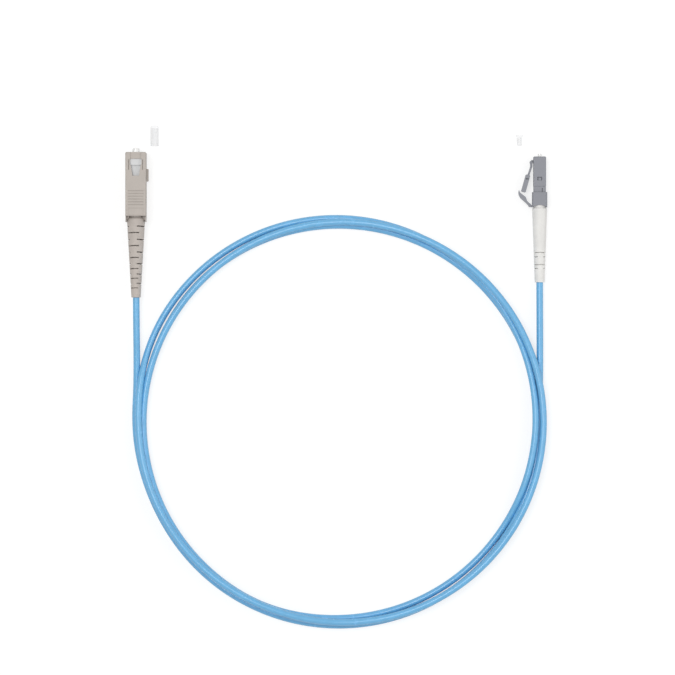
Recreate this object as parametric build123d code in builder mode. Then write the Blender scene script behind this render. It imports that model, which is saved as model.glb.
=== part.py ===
"""Simplex fibre patch cord: a push-pull SC connector, its coiled cable and the LC connector on the far end.

Millimetres. The SC connector lies on one of its window faces with its axis along Y and its ferrule
towards +Y. Z = 0 is the surface it lies on, and the origin is the middle of that face.
"""

import os
from math import cos, pi, radians, tan

from build123d import *

os.makedirs("parts", exist_ok=True)

# Cable
cable_diameter = 2.4
fibre_diameter = 0.9
cable_fit = 0.04

# SC grip: the outer sleeve that slides on the plug frame
grip_width = 7.39
grip_height = 8.99
grip_length = 24.86
grip_side_wall = 0.9
grip_face_wall = 0.9
grip_rear_wall = 0.36
grip_edge_radius = 0.4
grip_front_chamfer = 0.3
grip_play = 0.07
grip_travel = 1.5
ear_length = 2.2
ear_height = 5.6
ear_corner_radius = 1.0

# SC grip: latch channel, window and slots on both window faces
channel_width = 3.84
channel_depth = 0.42
window_setback = 2.38
window_width = 4.1
window_length = 2.2
throat_width = 3.5
throat_end_width = 2.3
throat_length = 3.84
slot_width = 0.3
slot_length = 3.6
slot_depth = 0.45
slot_spacing = 4.95
slot_setback = 2.7

# SC grip: key, finger ridges and end pads
key_length = 4.5
key_width = 1.9
key_height = 0.78
key_chamfer = 0.2
key_setback = 5.95
ridge_count = 6
ridge_pitch = 0.985
ridge_groove = 0.32
ridge_depth = 0.2
ridge_width = 5.45
ridge_setback = 13.8
pad_width = 5.4
pad_length = 2.5
pad_depth = 0.14
pad_setback = 19.9

# SC plug frame
plug_setback = 0.3
plug_length = 17.2
plug_nose_chamfer = 0.5
sleeve_room_diameter = 4.5
ferrule_hole_diameter = 3.8
seat_wall = 0.8
flange_room_diameter = 4.7
latch_pocket_width = 3.4
latch_pocket_length = 4.5
latch_pocket_depth = 0.75
latch_shoulder_length = 4.3
rail_length = 2.0
rail_width = 1.6
rail_height = 0.4
rail_inset = 1.3
snap_window_length = 1.8
snap_window_width = 2.4
snap_window_inset = 1.7
snap_clearance = 0.06

# SC ferrule, flange and spring
ferrule_diameter = 2.5
ferrule_projection = 1.53
ferrule_tail_diameter = 2.0
ferrule_tail_inset = 2.1
ferrule_tip_chamfer = 0.3
flange_diameter = 4.4
flange_thickness = 1.5
flange_notch_width = 0.8
flange_notch_depth = 0.45
hub_diameter = 3.0
hub_clearance = 1.38
fibre_fit = 0.05
seat_gap = 0.02
ferrule_travel = 1.6
spring_diameter = 3.8
spring_wire = 0.4
spring_turns = 5
wire_sides = 6

# SC stop ring, guide tube and crimp sleeve
stop_ring_depth = 3.6
stop_ring_fit = 0.05
collar_diameter = 5.2
collar_thickness = 0.95
stem_diameter = 3.3
stem_length = 6.0
stem_groove_count = 4
stem_groove_pitch = 1.1
stem_groove_width = 0.35
stem_groove_depth = 0.15
guide_tube_wall = 0.28
guide_tube_fit = 0.02
crimp_wall = 0.35
crimp_fit = 0.1
crimp_standoff = 0.3
crimp_body_length = 6.2
crimp_cone_length = 1.0
crimp_neck_length = 3.5

# SC boot
boot_fit = 0.05
boot_neck_diameter = 5.0
boot_shoulder_diameter = 6.46
boot_shoulder_length = 0.8
boot_shoulder_radius = 0.85
boot_wing_height = 3.0
boot_tip_diameter = 3.3
boot_lap = 1.9
boot_clearance = 0.3
boot_neck_length = 2.55
boot_length = 28.45
boot_bore_step = 0.5
slit_width = 0.4
slit_web = 0.2
slit_roll = 22.0
slit_lean = 7.0
slit_side_angle = 60.0
slit_face_angle = 47.0
slit_side_setbacks = [3.45, 8.15, 12.6, 16.7, 20.4, 23.7]
slit_face_setbacks = [5.75, 10.35, 14.55, 18.45, 21.9, 25.3]

# LC connector: place and front housing
lc_axis_x = 143.7
lc_floor_gap = 0.045
lc_front_y = 10.93
lc_side = 4.5
lc_housing_length = 10.65
lc_front_chamfer = 0.25
lc_edge_radius = 0.3
lc_sleeve_room_diameter = 2.9
lc_ferrule_hole_diameter = 2.5
lc_sleeve_room_depth = 3.5
lc_seat_wall = 0.7
lc_barrel_diameter = 3.5
lc_window_width = 1.6
lc_window_length = 1.25
lc_window_inset = 2.15
lc_lug_clearance = 0.06
lc_lug_slot = 0.26
lc_joint_chamfer = 0.12

# LC rear body
lc_barrel_fit = 0.04
lc_spigot_wall = 0.26
lc_spigot_length = 4.1
lc_neck_side = 4.38
lc_neck_length = 2.02
lc_neck_groove_width = 0.32
lc_neck_groove_length = 1.4
lc_neck_groove_depth = 0.3
lc_neck_groove_offset = 0.9
lc_rear_side = 5.35
lc_rear_length = 5.36
lc_rear_arch_width = 5.0
lc_rear_arch_depth = 0.8
lc_step_depth = 0.7
lc_post_hole_diameter = 2.1
lc_boot_room_diameter = 4.5
lc_boot_room_depth = 2.3

# LC latch and trigger, each drawn from its own pivot
latch_pivot_standoff = 0.73
latch_pivot_setback = 2.1
latch_knuckle_diameter = 1.2
latch_knuckle_gap = 0.05
latch_seat_above = 0.85
latch_seat_below = 0.2
latch_width = 2.9
latch_root_thickness = 0.8
latch_root_length = 1.75
latch_neck_width = 2.2
latch_neck_thickness = 0.7
latch_neck_start = (0, -1.45)
latch_neck_end = (-1.1, -4.75)
latch_arm_thickness = 1.65
latch_arm_start = (-1.15, -4.45)
latch_arm_end = (-2.85, -10.5)
latch_arm_radius = 0.3
latch_dent_place = (-1.45, -5.85)
latch_dent_width = 0.95
latch_dent_length = 0.5
latch_dent_depth = 0.35
trigger_pivot_standoff = 0.775
trigger_pivot_inset = 0.58
trigger_knuckle_diameter = 1.1
trigger_seat_above = 0.1
trigger_seat_below = 0.55
trigger_width = 3.2
trigger_outer = [(-3.88, 5.6), (-4.08, 4.3), (-3.5, 2.85), (-2.2, 1.6), (-0.95, 0.42), (-0.12, -0.53)]
trigger_inner = [(0.28, 0.46), (-0.55, 1.2), (-1.15, 1.95), (-1.4, 2.8), (-2.0, 3.45), (-3.2, 4.35)]

# LC ferrule, flange and spring
lc_ferrule_diameter = 1.25
lc_ferrule_projection = 1.03
lc_ferrule_tail_diameter = 0.8
lc_ferrule_tail_inset = 1.8
lc_ferrule_tip_chamfer = 0.15
lc_flange_diameter = 3.1
lc_flange_thickness = 1.0
lc_hub_diameter = 1.7
lc_hub_clearance = 0.33
lc_ferrule_travel = 1.2
lc_spring_diameter = 2.4
lc_spring_wire = 0.3
lc_spring_turns = 5

# LC back post, crimp sleeve and boot
lc_post_flange_thickness = 0.7
lc_post_fit = 0.05
lc_post_bore_diameter = 1.1
lc_post_lap = 4.45
lc_crimp_wall = 0.3
lc_crimp_inset = 1.53
lc_crimp_length = 7.4
lc_boot_fit = 0.05
lc_boot_spigot_diameter = 4.4
lc_boot_spigot_length = 1.9
lc_boot_shoulder_diameter = 5.3
lc_boot_shoulder_length = 0.6
lc_boot_shoulder_radius = 1.8
lc_boot_tip_diameter = 3.5
lc_boot_length = 26.72
lc_slit_width = 0.32
lc_slit_face_angle = 62.0
lc_slit_side_angle = 60.0
lc_slit_side_roll = -10.0
lc_slit_face_insets = [10.35, 6.05]
lc_slit_side_insets = [8.85, 4.7]

# Dust caps lying beside their connectors
cap_diameter = 3.06
cap_length = 7.3
cap_bore_fit = 0.03
cap_bore_depth = 6.4
cap_edge_radius = 0.5
cap_place = (6.5, 14.7)
lc_cap_head_diameter = 2.5
lc_cap_head_thickness = 0.7
lc_cap_mouth_diameter = 1.75
lc_cap_shank_diameter = 2.1
lc_cap_length = 3.9
lc_cap_bore_depth = 2.9
lc_cap_place = (136.5, 14.85)

# Cable coil and the two free runs
coil_centre = (72.42, -83.56)
coil_inner_radius = 68.25
coil_outer_radius = 74.35
coil_height = 6.4
coil_edge_chamfer = 1.3
jacket_gap = 0.25
cable_lead = 1.28
lc_cable_lead = 2.38

# Lengths that follow from the sizes above
sc_axis = grip_height / 2
grip_front = grip_length / 2
cable_radius = cable_diameter / 2
plug_width = grip_width - 2 * (grip_side_wall + grip_play)
plug_height = grip_height - 2 * (grip_face_wall + grip_play)
plug_front = grip_front - plug_setback
window_front = grip_front - window_setback
latch_shoulder = plug_front - latch_shoulder_length
flange_seat = latch_shoulder - seat_wall
flange_front = flange_seat - seat_gap
spring_front = flange_front - flange_thickness
plug_rear = plug_front - plug_length
rail_middle = plug_rear + rail_inset + rail_length / 2
snap_window_middle = plug_rear + snap_window_inset + snap_window_length / 2
stop_ring_front = plug_rear + stop_ring_depth
hub_rear = stop_ring_front + ferrule_travel + hub_clearance
hub_length = spring_front - hub_rear
ferrule_tail_length = flange_front - hub_rear - ferrule_tail_inset
stem_front = plug_rear - collar_thickness
stem_rear = stem_front - stem_length
guide_tube_diameter = fibre_diameter + 2 * (fibre_fit + guide_tube_wall)
stop_ring_bore = guide_tube_diameter + 2 * guide_tube_fit
crimp_front = stem_front - crimp_standoff
crimp_body_diameter = stem_diameter + 2 * (crimp_fit + crimp_wall)
crimp_neck_diameter = cable_diameter + 2 * (cable_fit + crimp_wall)
crimp_neck_front = crimp_front - crimp_body_length - crimp_cone_length
crimp_rear = crimp_neck_front - crimp_neck_length
boot_front = crimp_front - boot_lap
boot_shoulder = boot_front - boot_neck_length
boot_tip = boot_shoulder - boot_length
grip_rear_depth = grip_front + boot_front + grip_travel + boot_clearance
fibre_front = flange_front - ferrule_tail_length - seat_gap
cable_start = stem_rear - jacket_gap
fibre_rear = cable_start + jacket_gap + ferrule_travel

lc_axis_height = lc_rear_side / 2 + lc_floor_gap
lc_axis = (lc_axis_x, lc_axis_height)
lc_seat = lc_front_y - lc_sleeve_room_depth - lc_seat_wall
lc_flange_front = lc_seat - seat_gap
lc_spring_front = lc_flange_front - lc_flange_thickness
lc_joint = lc_front_y - lc_housing_length
lc_window_middle = lc_joint + lc_window_inset + lc_window_length / 2
lc_spigot_diameter = lc_barrel_diameter - 2 * lc_barrel_fit
lc_spigot_bore = lc_spigot_diameter - 2 * lc_spigot_wall
lc_step = lc_joint + lc_step_depth
lc_shoulder = lc_joint - lc_neck_length
lc_rear_end = lc_shoulder - lc_rear_length
lc_post_diameter = lc_post_hole_diameter - 2 * lc_post_fit
lc_post_front = lc_step + lc_post_flange_thickness
lc_crimp_front = lc_rear_end + lc_crimp_inset
lc_post_rear = lc_crimp_front - lc_post_lap
lc_hub_rear = lc_post_front + lc_ferrule_travel + lc_hub_clearance
lc_hub_length = lc_spring_front - lc_hub_rear
lc_ferrule_tail_length = lc_flange_front - lc_hub_rear - lc_ferrule_tail_inset
lc_cable_start = lc_post_rear - jacket_gap
lc_fibre_front = lc_flange_front - lc_ferrule_tail_length - seat_gap
lc_fibre_rear = lc_cable_start + jacket_gap + lc_ferrule_travel
lc_boot_seat = lc_rear_end + lc_boot_room_depth
lc_boot_front = lc_rear_end + lc_boot_spigot_length
lc_boot_tip = lc_rear_end - lc_boot_length
latch_pivot_x = lc_axis_x - lc_side / 2 - latch_pivot_standoff
latch_pivot_y = lc_front_y - latch_pivot_setback
trigger_pivot_x = lc_axis_x - lc_rear_side / 2 - trigger_pivot_standoff
trigger_pivot_y = lc_rear_end + trigger_pivot_inset


def rearward(station, x=0.0, z=sc_axis):
    """Plane across an axis that runs along Y, at a station, with its normal to the rear."""
    return Plane(origin=(x, station, z), x_dir=(1, 0, 0), z_dir=(0, -1, 0))


def along(x, z):
    """Plane through an axis along Y, with local x across it and local y along it."""
    return Plane(origin=(x, 0, z), x_dir=(1, 0, 0), z_dir=(0, 0, 1))


def slit_pair(inner, outer, half_angle):
    """Two opposite ring sectors about local x, from the inner radius outwards."""
    near = inner * cos(radians(half_angle))
    spread = tan(radians(half_angle))
    with PolarLocations(0, 2):
        Polygon(
            (near, -near * spread),
            (outer, -outer * spread),
            (outer, outer * spread),
            (near, near * spread),
            align=None,
        )
    Circle(inner, mode=Mode.SUBTRACT)


sc_plane = along(0, sc_axis)
lc_plane = along(lc_axis_x, lc_axis_height)
sc_line = Axis((0, 0, sc_axis), (0, 1, 0))
lc_line = Axis((lc_axis_x, 0, lc_axis_height), (0, 1, 0))
latch_pivot = Plane(origin=(latch_pivot_x, latch_pivot_y, lc_axis_height))
trigger_pivot = Plane(origin=(trigger_pivot_x, trigger_pivot_y, lc_axis_height))

# SC grip: moulded rectangular sleeve with ears at the rear, open at both ends
with BuildPart() as sc_grip:
    with BuildSketch(rearward(grip_front)):
        Rectangle(grip_width, grip_height)
    extrude(amount=grip_length)
    fillet(sc_grip.edges().filter_by(Axis.Y), radius=grip_edge_radius)
    chamfer(sc_grip.faces().sort_by(Axis.Y)[-1].edges(), length=grip_front_chamfer)
    with BuildSketch(rearward(grip_front)):
        Rectangle(plug_width + 2 * grip_play, plug_height + 2 * grip_play)
    extrude(amount=grip_length, mode=Mode.SUBTRACT)
    with BuildSketch(rearward(grip_rear_depth - grip_front)):
        Rectangle(grip_width - 2 * grip_rear_wall, grip_height - 2 * grip_rear_wall)
    extrude(amount=grip_rear_depth, mode=Mode.SUBTRACT)
    # the window faces stop short and leave a round-cornered ear on each side wall
    with BuildSketch(Plane(origin=(0, -grip_front, sc_axis), x_dir=(0, 1, 0), z_dir=(1, 0, 0))):
        Rectangle(2 * ear_length, grip_height)
        with Locations((ear_length, 0)):
            RectangleRounded(2 * ear_length, ear_height, ear_corner_radius, mode=Mode.SUBTRACT)
    extrude(amount=grip_width, both=True, mode=Mode.SUBTRACT)
    # latch channel from the front edge to the window
    with Locations((0, window_front, sc_axis)):
        for side in (1, -1):
            with Locations((0, 0, side * (sc_axis - channel_depth / 2))):
                Box(channel_width, 2 * window_setback, channel_depth, mode=Mode.SUBTRACT)
    # window with a throat that narrows to the rear, right through both faces
    with BuildSketch(sc_plane):
        with BuildLine():
            Polyline(
                (window_width / 2, window_front),
                (window_width / 2, window_front - window_length),
                (throat_width / 2, window_front - window_length),
                (throat_end_width / 2, window_front - window_length - throat_length),
                (-throat_end_width / 2, window_front - window_length - throat_length),
                (-throat_width / 2, window_front - window_length),
                (-window_width / 2, window_front - window_length),
                (-window_width / 2, window_front),
                close=True,
            )
        make_face()
    extrude(amount=grip_height, both=True, mode=Mode.SUBTRACT)
    # thin slots beside the window, finger ridges and end pads on both window faces
    for side in (1, -1):
        face_level = sc_axis + side * grip_height / 2
        with Locations((0, grip_front - slot_setback - slot_length / 2, face_level)):
            with GridLocations(slot_spacing, slot_length, 2, 1):
                Box(slot_width, slot_length, 2 * slot_depth, mode=Mode.SUBTRACT)
        with Locations((0, grip_front - pad_setback - pad_length / 2, face_level)):
            Box(pad_width, pad_length, 2 * pad_depth, mode=Mode.SUBTRACT)
        for row in range(ridge_count):
            station = grip_front - ridge_setback - row * ridge_pitch
            with Locations((0, station, face_level)):
                Box(ridge_width, ridge_groove, 2 * ridge_depth, mode=Mode.SUBTRACT)
            with Locations((side * grip_width / 2, station, sc_axis)):
                Box(2 * ridge_depth, ridge_groove, ridge_width, mode=Mode.SUBTRACT)
    # grooves inside the side walls that the plug frame's rails run in
    for side in (1, -1):
        with Locations((side * plug_width / 2, rail_middle + grip_travel / 2, sc_axis)):
            Box(
                2 * (rail_height + grip_play),
                rail_length + grip_travel + 2 * grip_play,
                rail_width + 2 * grip_play,
                mode=Mode.SUBTRACT,
            )
    # key on the side wall
    with Locations((grip_width / 2 + key_height / 2, grip_front - key_setback - key_length / 2, sc_axis)):
        Box(key_height, key_length, key_width)
    chamfer(sc_grip.faces().sort_by(Axis.X)[-1].edges().filter_by(Axis.Z), length=key_chamfer)

# SC plug frame: inner housing with latch shoulders, rails and snap windows
with BuildPart() as sc_plug_frame:
    with BuildSketch(rearward(plug_front)):
        Rectangle(plug_width, plug_height)
    extrude(amount=plug_length)
    chamfer(sc_plug_frame.faces().sort_by(Axis.Y)[-1].edges(), length=plug_nose_chamfer)
    with BuildSketch(rearward(plug_front)):
        Circle(sleeve_room_diameter / 2)
    extrude(amount=plug_front - latch_shoulder, mode=Mode.SUBTRACT)
    with BuildSketch(rearward(latch_shoulder)):
        Circle(ferrule_hole_diameter / 2)
    extrude(amount=seat_wall, mode=Mode.SUBTRACT)
    with BuildSketch(rearward(flange_seat)):
        Circle(flange_room_diameter / 2)
    extrude(amount=flange_seat - plug_rear, mode=Mode.SUBTRACT)
    for side in (1, -1):
        with Locations((0, latch_shoulder - latch_pocket_length / 2, sc_axis + side * plug_height / 2)):
            Box(latch_pocket_width, latch_pocket_length, 2 * latch_pocket_depth, mode=Mode.SUBTRACT)
        with Locations((side * (plug_width + rail_height) / 2, rail_middle, sc_axis)):
            Box(rail_height, rail_length, rail_width)
    with Locations((0, snap_window_middle, sc_axis)):
        Box(snap_window_width, snap_window_length, plug_height, mode=Mode.SUBTRACT)

# SC ferrule: ceramic pin with a turned-down tail pressed into its flange
with BuildPart() as sc_ferrule:
    with BuildSketch(sc_plane):
        with BuildLine():
            Polyline(
                (0, grip_front + ferrule_projection),
                (ferrule_diameter / 2 - ferrule_tip_chamfer, grip_front + ferrule_projection),
                (ferrule_diameter / 2, grip_front + ferrule_projection - ferrule_tip_chamfer),
                (ferrule_diameter / 2, flange_front),
                (ferrule_tail_diameter / 2, flange_front),
                (ferrule_tail_diameter / 2, flange_front - ferrule_tail_length),
                (0, flange_front - ferrule_tail_length),
                close=True,
            )
        make_face()
    revolve(axis=sc_line)

# SC ferrule flange: notched collar that floats in the plug frame, with a hub behind it
with BuildPart() as sc_ferrule_flange:
    with BuildSketch(rearward(flange_front)):
        Circle(flange_diameter / 2)
        with PolarLocations(flange_diameter / 2, 4, start_angle=45):
            Rectangle(2 * flange_notch_depth, flange_notch_width, mode=Mode.SUBTRACT)
    extrude(amount=flange_thickness)
    with BuildSketch(rearward(spring_front)):
        Circle(hub_diameter / 2)
    extrude(amount=hub_length)
    with BuildSketch(rearward(flange_front)):
        Circle(ferrule_tail_diameter / 2)
    extrude(amount=ferrule_tail_length, mode=Mode.SUBTRACT)
    with BuildSketch(rearward(flange_front)):
        Circle(fibre_diameter / 2 + fibre_fit)
    extrude(amount=flange_thickness + hub_length, mode=Mode.SUBTRACT)

# SC spring: round wire between the flange and the stop ring
with BuildPart() as sc_spring:
    spring_run = spring_front - stop_ring_front - spring_wire - 2 * seat_gap
    with BuildLine():
        coil_path = Helix(
            pitch=spring_run / spring_turns,
            height=spring_run,
            radius=spring_diameter / 2,
            center=(0, spring_front - seat_gap - spring_wire / 2, sc_axis),
            direction=(0, -1, 0),
        )
    with BuildSketch(Plane(origin=coil_path @ 0, z_dir=coil_path % 0)):
        RegularPolygon(spring_wire / 2, wire_sides)
    sweep(path=coil_path, is_frenet=True)

# SC stop ring: turned post that snaps into the plug frame and carries the crimp
with BuildPart() as sc_stop_ring:
    with BuildSketch(rearward(stop_ring_front)):
        Circle(flange_room_diameter / 2 - stop_ring_fit)
    extrude(amount=stop_ring_depth)
    with BuildSketch(rearward(plug_rear)):
        Circle(collar_diameter / 2)
    extrude(amount=collar_thickness)
    with BuildSketch(rearward(stem_front)):
        Circle(stem_diameter / 2)
    extrude(amount=stem_length)
    for row in range(stem_groove_count):
        with BuildSketch(rearward(stem_front - (row + 1) * stem_groove_pitch)):
            Circle(stem_diameter / 2)
            Circle(stem_diameter / 2 - stem_groove_depth, mode=Mode.SUBTRACT)
        extrude(amount=stem_groove_width, mode=Mode.SUBTRACT)
    with Locations((0, snap_window_middle, sc_axis)):
        Box(
            snap_window_width - 2 * snap_clearance,
            snap_window_length - 2 * snap_clearance,
            plug_height - 2 * snap_clearance,
        )
    with BuildSketch(rearward(stop_ring_front)):
        Circle(stop_ring_bore / 2)
    extrude(amount=stop_ring_front - stem_rear, mode=Mode.SUBTRACT)

# SC guide tube: lines the stop ring round the buffered fibre
with BuildPart() as sc_guide_tube:
    with BuildSketch(rearward(stop_ring_front)):
        Circle(guide_tube_diameter / 2)
        Circle(fibre_diameter / 2 + fibre_fit, mode=Mode.SUBTRACT)
    extrude(amount=stop_ring_front - stem_rear)

# SC buffered fibre: moves with the ferrule and stops short of the cable by the ferrule's travel
with BuildPart() as sc_buffered_fibre:
    with BuildSketch(rearward(fibre_front)):
        Circle(fibre_diameter / 2)
    extrude(amount=fibre_front - fibre_rear)

# SC crimp sleeve: wide over the stop ring's stem, necked down on the cable jacket
with BuildPart() as sc_crimp_sleeve:
    with BuildSketch(sc_plane):
        with BuildLine():
            Polyline(
                (crimp_body_diameter / 2 - crimp_wall, crimp_front),
                (crimp_body_diameter / 2, crimp_front),
                (crimp_body_diameter / 2, crimp_front - crimp_body_length),
                (crimp_neck_diameter / 2, crimp_neck_front),
                (crimp_neck_diameter / 2, crimp_rear),
                (crimp_neck_diameter / 2 - crimp_wall, crimp_rear),
                (crimp_neck_diameter / 2 - crimp_wall, crimp_neck_front),
                (crimp_body_diameter / 2 - crimp_wall, crimp_front - crimp_body_length),
                close=True,
            )
        make_face()
    revolve(axis=sc_line)

# SC boot: tapered strain relief with staggered pairs of slits that leave its inner wall whole
with BuildPart() as sc_boot:
    with BuildSketch(sc_plane):
        with BuildLine():
            Polyline(
                (crimp_body_diameter / 2 + boot_fit, boot_front),
                (boot_neck_diameter / 2, boot_front),
                (boot_neck_diameter / 2, boot_shoulder),
            )
            RadiusArc(
                (boot_neck_diameter / 2, boot_shoulder),
                (boot_shoulder_diameter / 2, boot_shoulder - boot_shoulder_length),
                boot_shoulder_radius,
            )
            Polyline(
                (boot_shoulder_diameter / 2, boot_shoulder - boot_shoulder_length),
                (boot_tip_diameter / 2, boot_tip),
                (cable_radius + cable_fit, boot_tip),
                (cable_radius + cable_fit, crimp_rear - boot_bore_step),
                (crimp_neck_diameter / 2 + boot_fit, crimp_rear - boot_bore_step),
                (crimp_neck_diameter / 2 + boot_fit, crimp_neck_front),
                (crimp_body_diameter / 2 + boot_fit, crimp_neck_front + crimp_cone_length),
                (crimp_body_diameter / 2 + boot_fit, boot_front),
            )
        make_face()
    revolve(axis=sc_line)
    # flat wings beside the neck that run between the grip's side walls
    wing_inner = (crimp_body_diameter / 2 + boot_fit + boot_neck_diameter / 2) / 2
    wing_outer = grip_width / 2 - grip_rear_wall - grip_play
    wing_length = boot_neck_length + boot_shoulder_length
    for side in (1, -1):
        with Locations((side * (wing_inner + wing_outer) / 2, boot_front - wing_length / 2, sc_axis)):
            Box(wing_outer - wing_inner, wing_length, boot_wing_height)
    for setbacks, turn, half_angle in (
        (slit_side_setbacks, slit_roll, slit_side_angle),
        (slit_face_setbacks, slit_roll + 90, slit_face_angle),
    ):
        for setback in setbacks:
            station = boot_shoulder - setback
            over_crimp = station > crimp_rear - boot_bore_step
            bore = crimp_neck_diameter / 2 + boot_fit if over_crimp else cable_radius + cable_fit
            with BuildSketch(rearward(station) * Rotation(-slit_lean, 0, turn)):
                slit_pair(bore + slit_web, boot_shoulder_diameter, half_angle)
            extrude(amount=slit_width / 2, both=True, mode=Mode.SUBTRACT)

# SC dust cap: blind moulded cap lying beside the connector, mouth towards it
with BuildPart() as sc_dust_cap:
    with BuildSketch(rearward(cap_place[1] + cap_length, cap_place[0], cap_diameter / 2)):
        Circle(cap_diameter / 2)
    extrude(amount=cap_length)
    fillet(sc_dust_cap.faces().sort_by(Axis.Y)[-1].edges(), radius=cap_edge_radius)
    with BuildSketch(rearward(cap_place[1] + cap_bore_depth, cap_place[0], cap_diameter / 2)):
        Circle(ferrule_diameter / 2 + cap_bore_fit)
    extrude(amount=cap_bore_depth, mode=Mode.SUBTRACT)

# LC front housing: square moulded sleeve with the latch's root seat on one side
with BuildPart() as lc_front_housing:
    with BuildSketch(rearward(lc_front_y, *lc_axis)):
        Rectangle(lc_side, lc_side)
    extrude(amount=lc_housing_length)
    fillet(lc_front_housing.edges().filter_by(Axis.Y), radius=lc_edge_radius)
    chamfer(lc_front_housing.faces().sort_by(Axis.Y)[-1].edges(), length=lc_front_chamfer)
    chamfer(lc_front_housing.faces().sort_by(Axis.Y)[0].edges(), length=lc_joint_chamfer)
    with BuildSketch(latch_pivot):
        with Locations((0, -latch_seat_below)):
            Rectangle(
                latch_pivot_standoff + lc_edge_radius,
                latch_seat_above + latch_seat_below,
                align=(Align.MIN, Align.MIN),
            )
        Circle(latch_knuckle_diameter / 2 + latch_knuckle_gap, mode=Mode.SUBTRACT)
    extrude(amount=latch_width / 2, both=True)
    with BuildSketch(rearward(lc_front_y, *lc_axis)):
        Circle(lc_sleeve_room_diameter / 2)
    extrude(amount=lc_sleeve_room_depth, mode=Mode.SUBTRACT)
    with BuildSketch(rearward(lc_front_y, *lc_axis)):
        Circle(lc_ferrule_hole_diameter / 2)
    extrude(amount=lc_front_y - lc_seat, mode=Mode.SUBTRACT)
    with BuildSketch(rearward(lc_seat, *lc_axis)):
        Circle(lc_barrel_diameter / 2)
    extrude(amount=lc_seat - lc_joint, mode=Mode.SUBTRACT)
    with Locations((lc_axis_x, lc_window_middle, lc_axis_height)):
        Box(lc_window_width, lc_window_length, lc_side, mode=Mode.SUBTRACT)

# LC rear body: spigot with two snap lugs, square neck and wider rear with the trigger's seat
with BuildPart() as lc_rear_body:
    with BuildSketch(rearward(lc_joint + lc_spigot_length, *lc_axis)):
        Circle(lc_spigot_diameter / 2)
    extrude(amount=lc_spigot_length)
    with BuildSketch(rearward(lc_joint, *lc_axis)):
        RectangleRounded(lc_neck_side, lc_neck_side, lc_edge_radius)
    extrude(amount=lc_neck_length)
    # small groove in both faces of the neck
    groove_place = (lc_neck_groove_offset, lc_shoulder + lc_neck_groove_length / 2)
    for side in (1, -1):
        with Locations(lc_plane * Pos(*groove_place, side * lc_neck_side / 2)):
            Box(lc_neck_groove_width, lc_neck_groove_length, 2 * lc_neck_groove_depth, mode=Mode.SUBTRACT)
    with BuildSketch(rearward(lc_shoulder, *lc_axis)):
        RectangleRounded(lc_rear_side, lc_rear_side, 2 * lc_edge_radius)
    extrude(amount=lc_rear_length)
    with Locations((lc_axis_x, lc_window_middle - (lc_lug_slot - seat_gap) / 2, lc_axis_height)):
        Box(
            lc_window_width - 2 * lc_lug_slot,
            lc_window_length - lc_lug_slot - seat_gap,
            lc_side - 4 * lc_lug_clearance,
        )
    with BuildSketch(trigger_pivot):
        with Locations((0, -trigger_seat_below)):
            Rectangle(
                trigger_pivot_standoff + lc_edge_radius,
                trigger_seat_above + trigger_seat_below,
                align=(Align.MIN, Align.MIN),
            )
        Circle(trigger_knuckle_diameter / 2 + latch_knuckle_gap, mode=Mode.SUBTRACT)
    extrude(amount=trigger_width / 2, both=True)
    # the rear edge is hollowed in an arch over the boot
    with BuildSketch(lc_plane):
        with BuildLine():
            ThreePointArc(
                (-lc_rear_arch_width / 2, lc_rear_end),
                (0, lc_rear_end + lc_rear_arch_depth),
                (lc_rear_arch_width / 2, lc_rear_end),
            )
            Line((lc_rear_arch_width / 2, lc_rear_end), (-lc_rear_arch_width / 2, lc_rear_end))
        make_face()
    extrude(amount=lc_rear_side, both=True, mode=Mode.SUBTRACT)
    with BuildSketch(rearward(lc_joint + lc_spigot_length, *lc_axis)):
        Circle(lc_spigot_bore / 2)
    extrude(amount=lc_joint + lc_spigot_length - lc_step, mode=Mode.SUBTRACT)
    with BuildSketch(rearward(lc_step, *lc_axis)):
        Circle(lc_post_hole_diameter / 2)
    extrude(amount=lc_step - lc_rear_end, mode=Mode.SUBTRACT)
    with BuildSketch(rearward(lc_boot_seat, *lc_axis)):
        Circle(lc_boot_room_diameter / 2)
    extrude(amount=lc_boot_room_depth, mode=Mode.SUBTRACT)

# LC latch: thin neck below a round root, then the thicker pocketed arm that the trigger presses
with BuildPart() as lc_latch:
    with BuildSketch(latch_pivot):
        Circle(latch_knuckle_diameter / 2)
        Rectangle(latch_root_thickness, latch_root_length, align=(Align.CENTER, Align.MAX))
        with BuildLine():
            neck_line = Line(latch_neck_start, latch_neck_end)
        trace(neck_line, line_width=latch_neck_thickness)
    extrude(amount=latch_neck_width / 2, both=True)
    with BuildSketch(latch_pivot) as arm_outline:
        with BuildLine():
            arm_line = Line(latch_arm_start, latch_arm_end)
        trace(arm_line, line_width=latch_arm_thickness)
        fillet(arm_outline.vertices(), radius=latch_arm_radius)
    extrude(amount=latch_width / 2, both=True)
    for side in (1, -1):
        with Locations(latch_pivot * Pos(*latch_dent_place, side * latch_width / 2)):
            Box(latch_dent_width, latch_dent_length, 2 * latch_dent_depth, mode=Mode.SUBTRACT)

# LC trigger: curved lever, thin at its round root and thick where it hooks over the latch's free end
with BuildPart() as lc_trigger:
    with BuildSketch(trigger_pivot):
        with BuildLine():
            Spline(*trigger_outer)
            Line(trigger_outer[-1], trigger_inner[0])
            Spline(*trigger_inner, trigger_outer[0])
        make_face()
        Circle(trigger_knuckle_diameter / 2)
    extrude(amount=trigger_width / 2, both=True)

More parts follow.
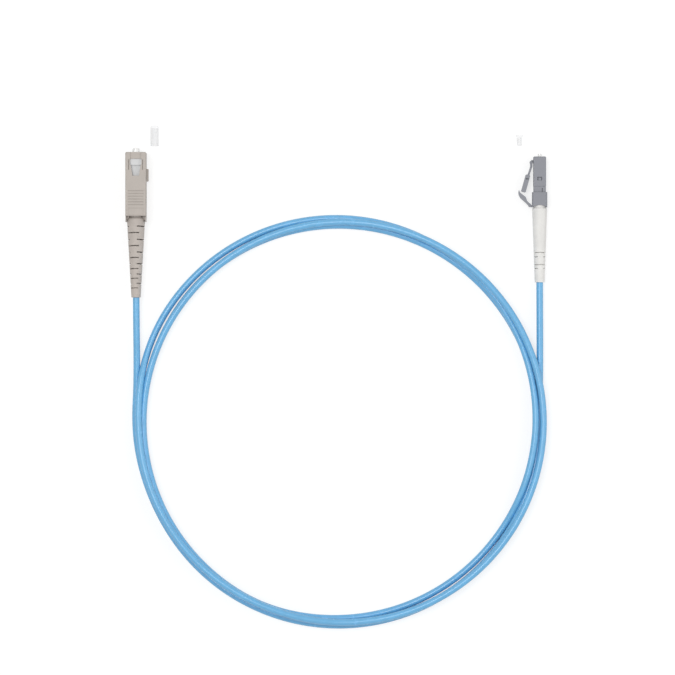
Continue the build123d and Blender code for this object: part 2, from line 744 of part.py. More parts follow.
# LC ferrule: ceramic pin with a turned-down tail
with BuildPart() as lc_ferrule:
    with BuildSketch(lc_plane):
        with BuildLine():
            Polyline(
                (0, lc_front_y + lc_ferrule_projection),
                (lc_ferrule_diameter / 2 - lc_ferrule_tip_chamfer, lc_front_y + lc_ferrule_projection),
                (lc_ferrule_diameter / 2, lc_front_y + lc_ferrule_projection - lc_ferrule_tip_chamfer),
                (lc_ferrule_diameter / 2, lc_flange_front),
                (lc_ferrule_tail_diameter / 2, lc_flange_front),
                (lc_ferrule_tail_diameter / 2, lc_flange_front - lc_ferrule_tail_length),
                (0, lc_flange_front - lc_ferrule_tail_length),
                close=True,
            )
        make_face()
    revolve(axis=lc_line)

# LC ferrule flange: six-sided collar and hub
with BuildPart() as lc_ferrule_flange:
    with BuildSketch(rearward(lc_flange_front, *lc_axis)):
        RegularPolygon(lc_flange_diameter / 2, 6)
    extrude(amount=lc_flange_thickness)
    with BuildSketch(rearward(lc_spring_front, *lc_axis)):
        Circle(lc_hub_diameter / 2)
    extrude(amount=lc_hub_length)
    with BuildSketch(rearward(lc_flange_front, *lc_axis)):
        Circle(lc_ferrule_tail_diameter / 2)
    extrude(amount=lc_ferrule_tail_length, mode=Mode.SUBTRACT)
    with BuildSketch(rearward(lc_flange_front - lc_ferrule_tail_length, *lc_axis)):
        Circle(fibre_diameter / 2 + fibre_fit)
    extrude(amount=lc_flange_thickness + lc_hub_length - lc_ferrule_tail_length, mode=Mode.SUBTRACT)

# LC spring
with BuildPart() as lc_spring:
    lc_spring_run = lc_spring_front - lc_post_front - lc_spring_wire - 2 * seat_gap
    with BuildLine():
        lc_coil_path = Helix(
            pitch=lc_spring_run / lc_spring_turns,
            height=lc_spring_run,
            radius=lc_spring_diameter / 2,
            center=(lc_axis_x, lc_spring_front - seat_gap - lc_spring_wire / 2, lc_axis_height),
            direction=(0, -1, 0),
        )
    with BuildSketch(Plane(origin=lc_coil_path @ 0, z_dir=lc_coil_path % 0)):
        RegularPolygon(lc_spring_wire / 2, wire_sides)
    sweep(path=lc_coil_path, is_frenet=True)

# LC back post: flanged tube through the rear body, with the crimp stem behind it
with BuildPart() as lc_back_post:
    with BuildSketch(rearward(lc_post_front, *lc_axis)):
        Circle(lc_spigot_bore / 2 - lc_post_fit)
    extrude(amount=lc_post_flange_thickness)
    with BuildSketch(rearward(lc_step, *lc_axis)):
        Circle(lc_post_diameter / 2)
    extrude(amount=lc_step - lc_post_rear)
    with BuildSketch(rearward(lc_post_front, *lc_axis)):
        Circle(lc_post_bore_diameter / 2)
    extrude(amount=lc_post_front - lc_post_rear, mode=Mode.SUBTRACT)

# LC buffered fibre: moves with the ferrule
with BuildPart() as lc_buffered_fibre:
    with BuildSketch(rearward(lc_fibre_front, *lc_axis)):
        Circle(fibre_diameter / 2)
    extrude(amount=lc_fibre_front - lc_fibre_rear)

# LC crimp sleeve: plain tube over the stem and the cable jacket
with BuildPart() as lc_crimp_sleeve:
    with BuildSketch(rearward(lc_crimp_front, *lc_axis)):
        Circle(cable_radius + cable_fit + lc_crimp_wall)
        Circle(cable_radius + cable_fit, mode=Mode.SUBTRACT)
    extrude(amount=lc_crimp_length)

# LC boot: tapered sleeve with two pairs of slits near its tip
with BuildPart() as lc_boot:
    lc_boot_bore = cable_radius + cable_fit + lc_crimp_wall + lc_boot_fit
    lc_crimp_end = lc_crimp_front - lc_crimp_length - boot_bore_step
    with BuildSketch(lc_plane):
        with BuildLine():
            Polyline(
                (lc_boot_bore, lc_boot_front),
                (lc_boot_spigot_diameter / 2, lc_boot_front),
                (lc_boot_spigot_diameter / 2, lc_rear_end + seat_gap),
            )
            RadiusArc(
                (lc_boot_spigot_diameter / 2, lc_rear_end + seat_gap),
                (lc_boot_shoulder_diameter / 2, lc_rear_end - lc_boot_shoulder_length),
                lc_boot_shoulder_radius,
            )
            Polyline(
                (lc_boot_shoulder_diameter / 2, lc_rear_end - lc_boot_shoulder_length),
                (lc_boot_tip_diameter / 2, lc_boot_tip),
                (cable_radius + cable_fit, lc_boot_tip),
                (cable_radius + cable_fit, lc_crimp_end),
                (lc_boot_bore, lc_crimp_end),
                (lc_boot_bore, lc_boot_front),
            )
        make_face()
    revolve(axis=lc_line)
    for insets, turn, half_angle in (
        (lc_slit_side_insets, lc_slit_side_roll, lc_slit_side_angle),
        (lc_slit_face_insets, 90, lc_slit_face_angle),
    ):
        for inset in insets:
            with BuildSketch(rearward(lc_boot_tip + inset, *lc_axis) * Rotation(-slit_lean, 0, turn)):
                slit_pair(cable_radius + cable_fit + slit_web, lc_boot_shoulder_diameter, half_angle)
            extrude(amount=lc_slit_width / 2, both=True, mode=Mode.SUBTRACT)

# LC dust cap: flanged blind cap lying beside its connector
with BuildPart() as lc_dust_cap:
    with BuildSketch(along(lc_cap_place[0], lc_cap_head_diameter / 2)):
        with BuildLine():
            Polyline(
                (0, lc_cap_place[1] + lc_cap_length),
                (lc_cap_head_diameter / 2, lc_cap_place[1] + lc_cap_length),
                (lc_cap_head_diameter / 2, lc_cap_place[1] + lc_cap_length - lc_cap_head_thickness),
                (lc_cap_shank_diameter / 2, lc_cap_place[1] + lc_cap_length - lc_cap_head_thickness),
                (lc_cap_mouth_diameter / 2, lc_cap_place[1]),
                (lc_ferrule_diameter / 2 + cap_bore_fit, lc_cap_place[1]),
                (lc_ferrule_diameter / 2 + cap_bore_fit, lc_cap_place[1] + lc_cap_bore_depth),
                (0, lc_cap_place[1] + lc_cap_bore_depth),
                close=True,
            )
        make_face()
    revolve(axis=Axis((lc_cap_place[0], 0, lc_cap_head_diameter / 2), (0, 1, 0)))

# Cable coil: the outer shape of the loose turns as they lie
with BuildPart() as cable_coil:
    with BuildSketch(Plane(origin=(*coil_centre, 0), x_dir=(1, 0, 0), z_dir=(0, -1, 0))):
        with Locations(((coil_inner_radius + coil_outer_radius) / 2, coil_height / 2)):
            Rectangle(coil_outer_radius - coil_inner_radius, coil_height)
        chamfer(vertices(), length=coil_edge_chamfer)
    revolve(axis=Axis((*coil_centre, 0), (0, 0, 1)))

# Free runs of the cable from each boot down into the coil
sc_run_points = [
    (0, cable_start, sc_axis),
    (0, boot_tip - cable_lead, sc_axis),
    (0.35, -68.6, 2.2),
    (0.6, -84.0, 2.0),
]
lc_run_points = [
    (lc_axis_x, lc_cable_start, lc_axis_height),
    (lc_axis_x, lc_boot_tip - lc_cable_lead, lc_axis_height),
    (lc_axis_x + 0.15, -62.4, 2.5),
    (lc_axis_x - 0.1, -79.5, 2.2),
]


def arc_radii(points):
    """Radius of the tangent arc at each inner point, from the shorter run beside it."""
    radii = []
    for before, corner, after in zip(points, points[1:], points[2:]):
        first = Vector(corner) - Vector(before)
        second = Vector(after) - Vector(corner)
        half_turn = radians(first.get_angle(second)) / 2
        radii.append(0.45 * min(first.length, second.length) / tan(half_turn))
    return radii


def cable_path(points):
    """Straight runs joined by tangent arcs."""
    radii = arc_radii(points)
    print("cable arc radii", [round(r, 1) for r in radii])
    return FilletPolyline(*points, radius=radii)


with BuildPart() as cable_sc_run:
    with BuildLine():
        sc_path = cable_path(sc_run_points)
    with BuildSketch(Plane(origin=sc_path @ 0, z_dir=sc_path % 0)):
        Circle(cable_radius)
    sweep(path=sc_path)

with BuildPart() as cable_lc_run:
    with BuildLine():
        lc_path = cable_path(lc_run_points)
    with BuildSketch(Plane(origin=lc_path @ 0, z_dir=lc_path % 0)):
        Circle(cable_radius)
    sweep(path=lc_path)

pieces = {
    "sc_grip": sc_grip,
    "sc_plug_frame": sc_plug_frame,
    "sc_ferrule": sc_ferrule,
    "sc_ferrule_flange": sc_ferrule_flange,
    "sc_spring": sc_spring,
    "sc_stop_ring": sc_stop_ring,
    "sc_guide_tube": sc_guide_tube,
    "sc_buffered_fibre": sc_buffered_fibre,
    "sc_crimp_sleeve": sc_crimp_sleeve,
    "sc_boot": sc_boot,
    "sc_dust_cap": sc_dust_cap,
    "cable_sc_run": cable_sc_run,
    "cable_coil": cable_coil,
    "cable_lc_run": cable_lc_run,
    "lc_front_housing": lc_front_housing,
    "lc_rear_body": lc_rear_body,
    "lc_latch": lc_latch,
    "lc_trigger": lc_trigger,
    "lc_ferrule": lc_ferrule,
    "lc_ferrule_flange": lc_ferrule_flange,
    "lc_spring": lc_spring,
    "lc_back_post": lc_back_post,
    "lc_buffered_fibre": lc_buffered_fibre,
    "lc_crimp_sleeve": lc_crimp_sleeve,
    "lc_boot": lc_boot,
    "lc_dust_cap": lc_dust_cap,
}
for name, piece in pieces.items():
    piece.part.label = name
    export_step(piece.part, f"parts/{name}.step")
    print(name, len(piece.part.solids()), round(piece.part.volume, 3))
print("cable volumes against section x length")
section = pi * cable_radius**2
for name, piece, path in (("sc", cable_sc_run, sc_path), ("lc", cable_lc_run, lc_path)):
    print(name, round(piece.part.volume, 2), round(section * path.length, 2))
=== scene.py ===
"""Simplex fibre patch cord seen from straight above: SC connector, coiled cable, LC connector and two dust caps."""

from math import cos, radians, sin, sqrt

import bpy
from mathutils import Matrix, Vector


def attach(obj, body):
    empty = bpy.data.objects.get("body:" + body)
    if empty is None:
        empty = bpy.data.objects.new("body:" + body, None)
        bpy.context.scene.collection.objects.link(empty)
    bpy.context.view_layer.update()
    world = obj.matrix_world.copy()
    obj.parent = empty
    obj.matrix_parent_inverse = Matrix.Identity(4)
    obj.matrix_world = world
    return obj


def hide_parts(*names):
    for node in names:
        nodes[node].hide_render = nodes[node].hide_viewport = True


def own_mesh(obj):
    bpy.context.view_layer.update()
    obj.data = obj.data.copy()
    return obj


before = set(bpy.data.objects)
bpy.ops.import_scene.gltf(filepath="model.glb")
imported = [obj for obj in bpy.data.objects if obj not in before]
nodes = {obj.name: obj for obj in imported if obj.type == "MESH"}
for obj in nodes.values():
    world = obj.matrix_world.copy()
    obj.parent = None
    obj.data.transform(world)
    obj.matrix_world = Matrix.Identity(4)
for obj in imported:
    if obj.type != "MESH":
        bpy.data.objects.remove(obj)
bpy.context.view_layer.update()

# SC grip: the beige outer sleeve that is pushed and pulled on the plug frame.
# Injection moulded in a spark-eroded tool, so it is matt with a fine even grain;
# its edges are painted a little paler, partly as handling wear and partly as a painted highlight, and its grooves get
# painted shade.


def add(tree, kind, **values):
    """A shader node of that kind, with its named inputs set or linked."""
    made = tree.nodes.new(kind)
    for name, value in values.items():
        socket = made.inputs[name.replace("_", " ")]
        if isinstance(value, bpy.types.NodeSocket):
            tree.links.new(value, socket)
        else:
            socket.default_value = value
    return made


def reckon(tree, operation, *values):
    """A maths node on numbers or sockets, and its result."""
    made = tree.nodes.new("ShaderNodeMath")
    made.operation = operation
    for socket, value in zip(made.inputs, values):
        if isinstance(value, bpy.types.NodeSocket):
            tree.links.new(value, socket)
        else:
            socket.default_value = value
    return made.outputs[0]


def effect(name, inputs, outputs):
    """An empty shared node group with these sockets, and its two end nodes."""
    tree = bpy.data.node_groups.new(name, "ShaderNodeTree")
    for label, kind, value in inputs:
        socket = tree.interface.new_socket(label, in_out="INPUT", socket_type=kind)
        socket.default_value = value
    for label, kind in outputs:
        tree.interface.new_socket(label, in_out="OUTPUT", socket_type=kind)
    return tree, tree.nodes.new("NodeGroupInput"), tree.nodes.new("NodeGroupOutput")


def use(tree, group, **values):
    """A shared node group placed in a material, with its named inputs set."""
    made = tree.nodes.new("ShaderNodeGroup")
    made.node_tree = group
    for name, value in values.items():
        made.inputs[name.replace("_", " ")].default_value = value
    return made


def surface(name, **values):
    """A material with one Principled shader, whose constant inputs are set here."""
    made = bpy.data.materials.new(name)
    made.use_nodes = True
    shader = made.node_tree.nodes["Principled BSDF"]
    for label, value in values.items():
        shader.inputs[label.replace("_", " ")].default_value = value
    return made, made.node_tree, shader


def finish_nodes(material, *names):
    """The CAD nodes of these names take the material."""
    for name in names:
        nodes[name].data.materials.clear()
        nodes[name].data.materials.append(material)


moulded, given, result = effect(
    "moulded skin",
    [
        ("Colour", "NodeSocketColor", (0.5, 0.5, 0.5, 1)),
        ("Grain", "NodeSocketFloat", 9000.0),
        ("Depth", "NodeSocketFloat", 0.25),
        ("Gloss", "NodeSocketFloat", 0.45),
        ("Edge", "NodeSocketFloat", 0.0001),
        ("WearAndHighlight", "NodeSocketFloat", 0.2),
        ("CreviceShade", "NodeSocketFloat", 0.5),
    ],
    [("Colour", "NodeSocketColor"), ("Roughness", "NodeSocketFloat"), ("Normal", "NodeSocketVector")],
)
place = add(moulded, "ShaderNodeTexCoord")
shape = add(moulded, "ShaderNodeNewGeometry")
grain = add(moulded, "ShaderNodeTexNoise", Vector=place.outputs["Object"], Scale=given.outputs["Grain"], Detail=3.0)
flow = add(moulded, "ShaderNodeTexNoise", Vector=place.outputs["Object"], Scale=320.0, Detail=2.0, Distortion=0.6)
shade = add(
    moulded, "ShaderNodeMapRange", Value=flow.outputs["Fac"], From_Min=0.3, From_Max=0.7, To_Min=0.96, To_Max=1.04
)
speck = add(
    moulded, "ShaderNodeMapRange", Value=grain.outputs["Fac"], From_Min=0.3, From_Max=0.7, To_Min=0.96, To_Max=1.04
)
rounded = add(moulded, "ShaderNodeBevel", Radius=given.outputs["Edge"])
rounded.samples = 4
turned_edge = add(moulded, "ShaderNodeVectorMath")
turned_edge.operation = "DOT_PRODUCT"
moulded.links.new(rounded.outputs["Normal"], turned_edge.inputs[0])
moulded.links.new(shape.outputs["Normal"], turned_edge.inputs[1])
# Paler edges: the bevelled normal marks the piece's edges, which the colour makes paler, partly as handling wear and
# partly as a painted highlight.
edge = add(
    moulded,
    "ShaderNodeMapRange",
    Value=turned_edge.outputs["Value"],
    From_Min=0.98,
    From_Max=0.75,
    To_Min=0.0,
    To_Max=1.0,
)
# Painted shade: the piece's own ambient occlusion darkens its colour in grooves, creases and recesses; the group's
# crevice input sets how dark it gets.
hollow = add(moulded, "ShaderNodeAmbientOcclusion", Distance=0.0006)
hollow.samples = 6
hollow.only_local = True
painted_crevice_shade = add(
    moulded,
    "ShaderNodeMapRange",
    Value=hollow.outputs["AO"],
    From_Min=0.3,
    From_Max=0.85,
    To_Min=given.outputs["CreviceShade"],
    To_Max=1.0,
)
edge_wear_and_highlight = reckon(moulded, "MULTIPLY_ADD", edge.outputs["Result"], given.outputs["WearAndHighlight"], 1.0)
tone = reckon(moulded, "MULTIPLY", shade.outputs["Result"], speck.outputs["Result"])
tone = reckon(moulded, "MULTIPLY", tone, painted_crevice_shade.outputs["Result"])
tone = reckon(moulded, "MULTIPLY", tone, edge_wear_and_highlight)
tint = add(moulded, "ShaderNodeVectorMath")
tint.operation = "SCALE"
moulded.links.new(given.outputs["Colour"], tint.inputs[0])
moulded.links.new(tone, tint.inputs["Scale"])
rough = reckon(moulded, "MULTIPLY_ADD", flow.outputs["Fac"], 0.2, given.outputs["Gloss"])
bump = add(
    moulded,
    "ShaderNodeBump",
    Strength=given.outputs["Depth"],
    Distance=0.00002,
    Height=grain.outputs["Fac"],
    Normal=rounded.outputs["Normal"],
)
moulded.links.new(tint.outputs["Vector"], result.inputs["Colour"])
moulded.links.new(rough, result.inputs["Roughness"])
moulded.links.new(bump.outputs["Normal"], result.inputs["Normal"])


def moulded_surface(name, skin_values, **values):
    """A moulded material: the shared skin with its own colour, grain and gloss, its paler edges (wear and painted
    highlight) and its painted crevice shade.
    """
    made, tree, shader = surface(name, **values)
    skin = use(tree, moulded, **skin_values)
    tree.links.new(skin.outputs["Colour"], shader.inputs["Base Color"])
    tree.links.new(skin.outputs["Roughness"], shader.inputs["Roughness"])
    tree.links.new(skin.outputs["Normal"], shader.inputs["Normal"])
    return made, tree, shader, skin


beige_plastic, *_ = moulded_surface(
    "beige plastic",
    dict(Colour=(0.47, 0.425, 0.385, 1), Grain=9000.0, Depth=0.3, Gloss=0.42, Edge=0.00012, WearAndHighlight=0.14, CreviceShade=0.94),
    IOR=1.45,
)
finish_nodes(beige_plastic, "sc_grip")

# SC plug frame: the white inner housing that shows through the grip's windows and at its mouth.
# Moulded in a polished tool, smoother than the grip.
white_plastic, *_ = moulded_surface(
    "white plastic",
    dict(Colour=(0.61, 0.615, 0.62, 1), Grain=12000.0, Depth=0.15, Gloss=0.28, Edge=0.0001, WearAndHighlight=0.08, CreviceShade=0.88),
    IOR=1.5,
)
finish_nodes(white_plastic, "sc_plug_frame")

# Ferrules: ground and polished zirconia pins, one in each connector, pressed into its flange.
# The fibre's polished end is the small dark dot in the middle of each tip.
sc_axis = (0, 0, 0.004495)
lc_axis = (0.1437, 0, 0.00272)
fibre_end, given, result = effect(
    "fibre end",
    [("Axis", "NodeSocketVector", (0, 0, 0)), ("Radius", "NodeSocketFloat", 0.00007)],
    [("Mask", "NodeSocketFloat")],
)
place = add(fibre_end, "ShaderNodeTexCoord")
offset = add(fibre_end, "ShaderNodeVectorMath")
offset.operation = "SUBTRACT"
fibre_end.links.new(place.outputs["Object"], offset.inputs[0])
fibre_end.links.new(given.outputs["Axis"], offset.inputs[1])
across = add(fibre_end, "ShaderNodeVectorMath")
across.operation = "MULTIPLY"
fibre_end.links.new(offset.outputs["Vector"], across.inputs[0])
across.inputs[1].default_value = (1, 0, 1)
reach = add(fibre_end, "ShaderNodeVectorMath")
reach.operation = "LENGTH"
fibre_end.links.new(across.outputs["Vector"], reach.inputs[0])
inside = reckon(fibre_end, "LESS_THAN", reach.outputs["Value"], given.outputs["Radius"])
fibre_end.links.new(inside, result.inputs["Mask"])


def ferrule_surface(name, axis):
    """Polished zirconia with the fibre's end on that axis."""
    made, tree, shader = surface(name, IOR=1.8)
    place = add(tree, "ShaderNodeTexCoord")
    polish = add(tree, "ShaderNodeTexNoise", Vector=place.outputs["Object"], Scale=2500.0, Detail=2.0)
    ceramic = add(tree, "ShaderNodeValToRGB", Fac=polish.outputs["Fac"])
    ceramic.color_ramp.elements[0].color = (0.86, 0.855, 0.84, 1)
    ceramic.color_ramp.elements[1].color = (0.92, 0.915, 0.90, 1)
    core = use(tree, fibre_end, Axis=axis)
    colour = add(tree, "ShaderNodeMix")
    colour.data_type = "RGBA"
    tree.links.new(core.outputs["Mask"], colour.inputs["Factor"])
    tree.links.new(ceramic.outputs["Color"], colour.inputs["A"])
    colour.inputs["B"].default_value = (0.10, 0.13, 0.20, 1)
    gloss = add(tree, "ShaderNodeMapRange", Value=polish.outputs["Fac"], To_Min=0.08, To_Max=0.2)
    tree.links.new(colour.outputs["Result"], shader.inputs["Base Color"])
    tree.links.new(gloss.outputs["Result"], shader.inputs["Roughness"])
    return made


finish_nodes(ferrule_surface("zirconia, sc", sc_axis), "sc_ferrule")
finish_nodes(ferrule_surface("zirconia, lc", lc_axis), "lc_ferrule")

# Turned pieces inside both connectors: plated flanges, stop ring and back post, the springs,
# the crimp sleeves, and the plastic tube and buffer round the fibre. Each is turned or drawn,
# so fine rings run across its axis.


def turned_surface(name, colour, roughness, metallic):
    """A turned or drawn piece: fine rings across the connector's axis."""
    made, tree, shader = surface(name, Metallic=metallic)
    place = add(tree, "ShaderNodeTexCoord")
    rings = add(tree, "ShaderNodeTexWave", Vector=place.outputs["Object"], Scale=6000.0, Distortion=1.5, Detail=2.0)
    rings.bands_direction = "Y"
    shade = add(tree, "ShaderNodeValToRGB", Fac=rings.outputs["Fac"])
    shade.color_ramp.elements[0].color = (*[0.9 * c for c in colour], 1)
    shade.color_ramp.elements[1].color = (*colour, 1)
    gloss = add(tree, "ShaderNodeMapRange", Value=rings.outputs["Fac"], To_Min=roughness, To_Max=roughness + 0.12)
    bump = add(tree, "ShaderNodeBump", Strength=0.2, Distance=0.00001, Height=rings.outputs["Fac"])
    tree.links.new(shade.outputs["Color"], shader.inputs["Base Color"])
    tree.links.new(gloss.outputs["Result"], shader.inputs["Roughness"])
    tree.links.new(bump.outputs["Normal"], shader.inputs["Normal"])
    return made


plated_brass = turned_surface("plated brass", (0.72, 0.70, 0.66), 0.2, 1.0)
finish_nodes(plated_brass, "sc_ferrule_flange", "sc_stop_ring", "lc_ferrule_flange", "lc_back_post")
spring_steel = turned_surface("spring steel", (0.55, 0.55, 0.56), 0.25, 1.0)
finish_nodes(spring_steel, "sc_spring", "lc_spring")
for name, joint, travel in (("sc_spring", "sc_ferrule_float", 0.0016), ("lc_spring", "lc_ferrule_float", 0.0012)):
    coils = bpy.data.objects.new(name + "_coils", nodes[name].data)
    bpy.context.scene.collection.objects.link(coils)
    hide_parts(name)
    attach(coils, "plug")
    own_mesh(coils)
crimp_metal = turned_surface("crimp metal", (0.66, 0.55, 0.33), 0.3, 1.0)
finish_nodes(crimp_metal, "sc_crimp_sleeve", "lc_crimp_sleeve")
guide_plastic = turned_surface("guide plastic", (0.80, 0.80, 0.80), 0.35, 0.0)
finish_nodes(guide_plastic, "sc_guide_tube")
fibre_buffer = turned_surface("fibre buffer", (0.85, 0.86, 0.88), 0.3, 0.0)
finish_nodes(fibre_buffer, "sc_buffered_fibre", "lc_buffered_fibre")

# SC boot: the slotted strain relief in beige thermoplastic rubber, matt and slightly uneven.
# The tool's halves meet level with its axis and leave a fine line along both flanks.
seam, given, result = effect(
    "parting line",
    [("Level", "NodeSocketFloat", 0.0), ("Width", "NodeSocketFloat", 0.00008)],
    [("Line", "NodeSocketFloat")],
)
place = add(seam, "ShaderNodeTexCoord")
axes = add(seam, "ShaderNodeSeparateXYZ", Vector=place.outputs["Object"])
above = reckon(seam, "SUBTRACT", axes.outputs["Z"], given.outputs["Level"])
away = reckon(seam, "ABSOLUTE", above)
line = add(
    seam, "ShaderNodeMapRange", Value=away, From_Min=0.0, From_Max=given.outputs["Width"], To_Min=1.0, To_Max=0.0
)
line.interpolation_type = "SMOOTHSTEP"
seam.links.new(line.outputs["Result"], result.inputs["Line"])


def rubber_surface(name, level, skin_values, **values):
    """A moulded rubber with its parting line at a level."""
    made, tree, shader, skin = moulded_surface(name, skin_values, **values)
    parting = use(tree, seam, Level=level)
    ridge = add(
        tree,
        "ShaderNodeBump",
        Strength=0.5,
        Distance=0.00005,
        Height=parting.outputs["Line"],
        Normal=skin.outputs["Normal"],
    )
    tree.links.new(ridge.outputs["Normal"], shader.inputs["Normal"])
    return made


# The boot's slits and creases carry strong painted shade.
beige_rubber = rubber_surface(
    "beige rubber",
    sc_axis[2],
    dict(Colour=(0.514, 0.464, 0.424, 1), Grain=6000.0, Depth=0.3, Gloss=0.5, Edge=0.0001, WearAndHighlight=0.1, CreviceShade=0.62),
    IOR=1.42,
)
finish_nodes(beige_rubber, "sc_boot")

# Dust caps: thin translucent polyethylene mouldings lying beside their connectors.
# Seen end on through the wall they are nearly clear; along their edges they turn milky.
cap_plastic, tree, shader, skin = moulded_surface(
    "cap polyethylene",
    dict(Colour=(0.8, 0.805, 0.82, 1), Grain=12000.0, Depth=0.04, Gloss=0.2, Edge=0.00008, WearAndHighlight=0.0, CreviceShade=0.95),
    IOR=1.4,
)
rim = add(tree, "ShaderNodeLayerWeight", Blend=0.35)
milky = add(tree, "ShaderNodeMapRange", Value=rim.outputs["Facing"], To_Min=0.12, To_Max=0.24)
tree.links.new(milky.outputs["Result"], shader.inputs["Alpha"])
finish_nodes(cap_plastic, "sc_dust_cap", "lc_dust_cap")

# LC housing, rear body, latch and trigger: grey mouldings, smoother than the SC grip.
# The rear body snaps into the housing, and the trigger bends down on the latch's free end.
# The grey mouldings' grooves, slots and recesses carry the strongest painted shade.
grey_plastic, *_ = moulded_surface(
    "grey plastic",
    dict(Colour=(0.244, 0.251, 0.281, 1), Grain=9000.0, Depth=0.22, Gloss=0.36, Edge=0.0001, WearAndHighlight=0.18, CreviceShade=0.45),
    IOR=1.45,
)
finish_nodes(grey_plastic, "lc_front_housing", "lc_rear_body", "lc_latch", "lc_trigger")

# LC boot: white strain relief in thermoplastic rubber, slotted near its tip.
# Moulded like the SC boot, with the same parting line, and pushed over the crimp sleeve.
white_rubber = rubber_surface(
    "white rubber",
    lc_axis[2],
    dict(Colour=(0.8, 0.79, 0.765, 1), Grain=10000.0, Depth=0.2, Gloss=0.45, Edge=0.0001, WearAndHighlight=0.03, CreviceShade=0.84),
    IOR=1.42,
)
finish_nodes(white_rubber, "lc_boot")

# Cable: one length of blue simplex cable from boot to boot, in three and a half loose turns.
# Extruded jacket over aramid yarn; each turn rests on the ones laid before it.
cable_diameter = 0.0024
sc_run = [(0, -0.01227, 0.004495), (0, -0.0405, 0.004495), (0.00035, -0.0686, 0.0022)]
lc_run = [
    (0.1436, -0.0795, 0.0034),
    (0.14385, -0.0624, 0.0025),
    (0.1437, -0.0362, 0.00272),
    (0.1437, -0.01027, 0.00272),
]
coil_centre = (0.07242, -0.08356)
coil_radius = 0.07125
turn_points = 36
first_angle = 170
last_angle = 1450
step = 360 // turn_points


def leaning(shift, bearing):
    """Radius of a turn that lies off the coil's centre by shift, towards that bearing in degrees."""
    return lambda angle: coil_radius + shift * cos(radians(angle - bearing))


middle_turn = leaning(0.00126, 258)
outer_turn = leaning(0.00192, 138)
upper_turn = leaning(0.00135, 357)
sloping_turn = leaning(0.0006, 110)

# Where the cable starts and ends moving over, in degrees along it, and the turn it moves to.
crossings = [
    (180, 225, middle_turn),
    (480, 520, upper_turn),
    (588, 628, outer_turn),
    (872, 904, sloping_turn),
    (950, 995, upper_turn),
    (1370, 1408, middle_turn),
    (1440, 1450, upper_turn),
]

# The stretches of cable, in the order in which they were laid down.
laid = [(first_angle, 690), (1200, last_angle), (690, 1200)]


def turn_radius(angle):
    """Radius at an angle counted along the cable, as it crosses from one turn to the next."""
    radius = outer_turn(angle)
    for start, end, turn in crossings:
        share = min(max((angle - start) / (end - start), 0), 1)
        share = share * share * (3 - 2 * share)
        radius += share * (turn(angle) - radius)
    return radius


angles = list(range(first_angle, last_angle + 1, step))
radii = [turn_radius(angle) for angle in angles]
heights = [sc_run[-1][2]] + [0.0] * (len(angles) - 1)
for start, end in laid:
    for i, angle in enumerate(angles):
        if heights[i] or not start < angle <= end:
            continue
        rest = cable_diameter / 2
        for j in range(i % turn_points, len(angles), turn_points):
            apart = abs(radii[i] - radii[j])
            if heights[j] and apart < cable_diameter:
                rest = max(rest, heights[j] + sqrt(cable_diameter**2 - apart**2))
        heights[i] = rest

coil = []
for i in range(1, len(angles) - 1):
    height = max(heights[i], (heights[i - 1] + 2 * heights[i] + heights[i + 1]) / 4)
    reach = radii[i] / cos(radians(step / 2))
    turn = radians(angles[i])
    coil.append((coil_centre[0] + reach * cos(turn), coil_centre[1] + reach * sin(turn), height))

route = sc_run + coil + lc_run
line = bpy.data.curves.new("cable", "CURVE")
line.dimensions = "3D"
line.bevel_depth = cable_diameter / 2
line.bevel_resolution = 6
line.use_fill_caps = True
spline = line.splines.new("NURBS")
spline.points.add(len(route) - 1)
for point, place in zip(spline.points, route):
    point.co = (*place, 1)
spline.order_u = 3
spline.use_endpoint_u = True
spline.resolution_u = 8
cable = bpy.data.objects.new("cable", line)
bpy.context.scene.collection.objects.link(cable)
cable_jacket, *_ = moulded_surface(
    "cable jacket",
    dict(Colour=(0.148, 0.443, 0.737, 1), Grain=9000.0, Depth=0.05, Gloss=0.15, Edge=0.0, WearAndHighlight=0.0, CreviceShade=1.0),
    IOR=1.54,
)
line.materials.append(cable_jacket)
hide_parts("cable_sc_run", "cable_coil", "cable_lc_run")
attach(cable, "plug")

# Stage: a white sheet in white surroundings, with a large softbox from the upper left
# and a weaker one from the right. To the camera the sheet is lifted to white, and keeps
# only the deeper part of the shadows.
middle = Vector((0.07, -0.05, 0))
bpy.ops.mesh.primitive_plane_add(size=8, location=middle)
floor = bpy.context.object
floor.name = "floor"


def seen(tree):
    """One for what the camera sees, straight or by way of gloss and glass, else nought."""
    path = add(tree, "ShaderNodeLightPath")
    direct = reckon(tree, "MAXIMUM", path.outputs["Is Camera Ray"], path.outputs["Is Glossy Ray"])
    return reckon(tree, "MAXIMUM", direct, path.outputs["Is Transmission Ray"])


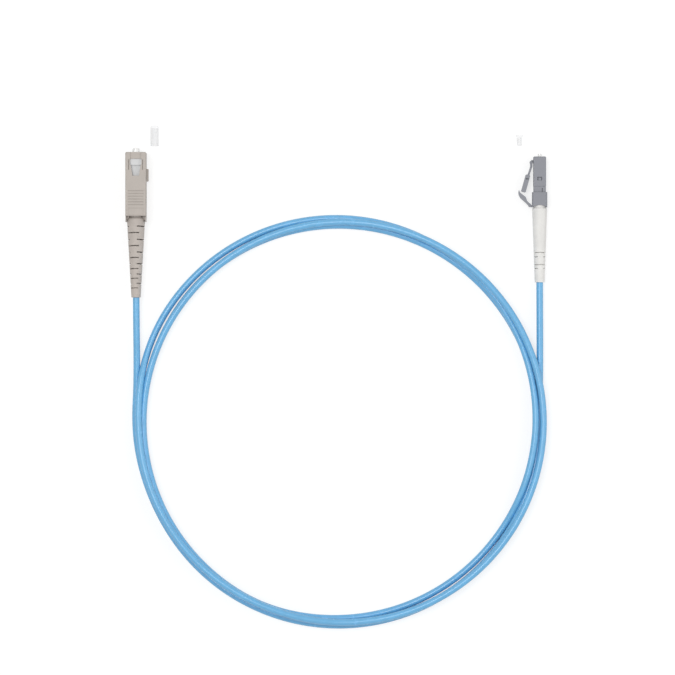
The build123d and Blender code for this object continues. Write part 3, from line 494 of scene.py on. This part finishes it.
paper, tree, shader = surface("paper", Base_Color=(0.8, 0.8, 0.8, 1), Roughness=0.9)
lift = add(tree, "ShaderNodeEmission", Strength=0.69)
sheet = add(tree, "ShaderNodeBsdfDiffuse", Color=(0.37, 0.37, 0.37, 1))
lifted = add(tree, "ShaderNodeAddShader")
tree.links.new(lift.outputs["Emission"], lifted.inputs[0])
tree.links.new(sheet.outputs["BSDF"], lifted.inputs[1])
choice = add(tree, "ShaderNodeMixShader", Fac=seen(tree))
tree.links.new(shader.outputs["BSDF"], choice.inputs[1])
tree.links.new(lifted.outputs["Shader"], choice.inputs[2])
tree.links.new(choice.outputs["Shader"], tree.nodes["Material Output"].inputs["Surface"])
floor.data.materials.append(paper)

world = bpy.data.worlds.new("studio")
world.use_nodes = True
tree = world.node_tree
room = tree.nodes["Background"]
room.inputs["Color"].default_value = (1, 1, 1, 1)
room.inputs["Strength"].default_value = 0.5
backdrop = add(tree, "ShaderNodeBackground", Color=(1, 1, 1, 1), Strength=1.0)
choice = add(tree, "ShaderNodeMixShader", Fac=seen(tree))
tree.links.new(room.outputs["Background"], choice.inputs[1])
tree.links.new(backdrop.outputs["Background"], choice.inputs[2])
tree.links.new(choice.outputs["Shader"], tree.nodes["World Output"].inputs["Surface"])
bpy.context.scene.world = world

for name, place, watts in (("softbox", (-0.5, 0.3, 2.8), 35.0), ("fill", (1.7, 0.1, 1.5), 8.5)):
    panel = bpy.data.lights.new(name, "AREA")
    panel.shape = "DISK"
    panel.size = 1.6
    panel.energy = watts
    lamp = bpy.data.objects.new(name, panel)
    lamp.location = place
    lamp.rotation_euler = (middle - lamp.location).to_track_quat("-Z", "Y").to_euler()
    bpy.context.scene.collection.objects.link(lamp)

# Camera: straight down from far off, with the photograph's field at the height of the connectors.
view_height = 2.4
view_field = 0.2402
view_centre = (0.07171, -0.05349)
connector_height = 0.005
lens = bpy.data.cameras.new("camera")
lens.lens = lens.sensor_width * view_height / view_field
camera = bpy.data.objects.new("camera", lens)
camera.location = (*view_centre, view_height + connector_height)
bpy.context.scene.collection.objects.link(camera)
bpy.context.scene.camera = camera
bpy.context.scene.view_settings.view_transform = "Standard"
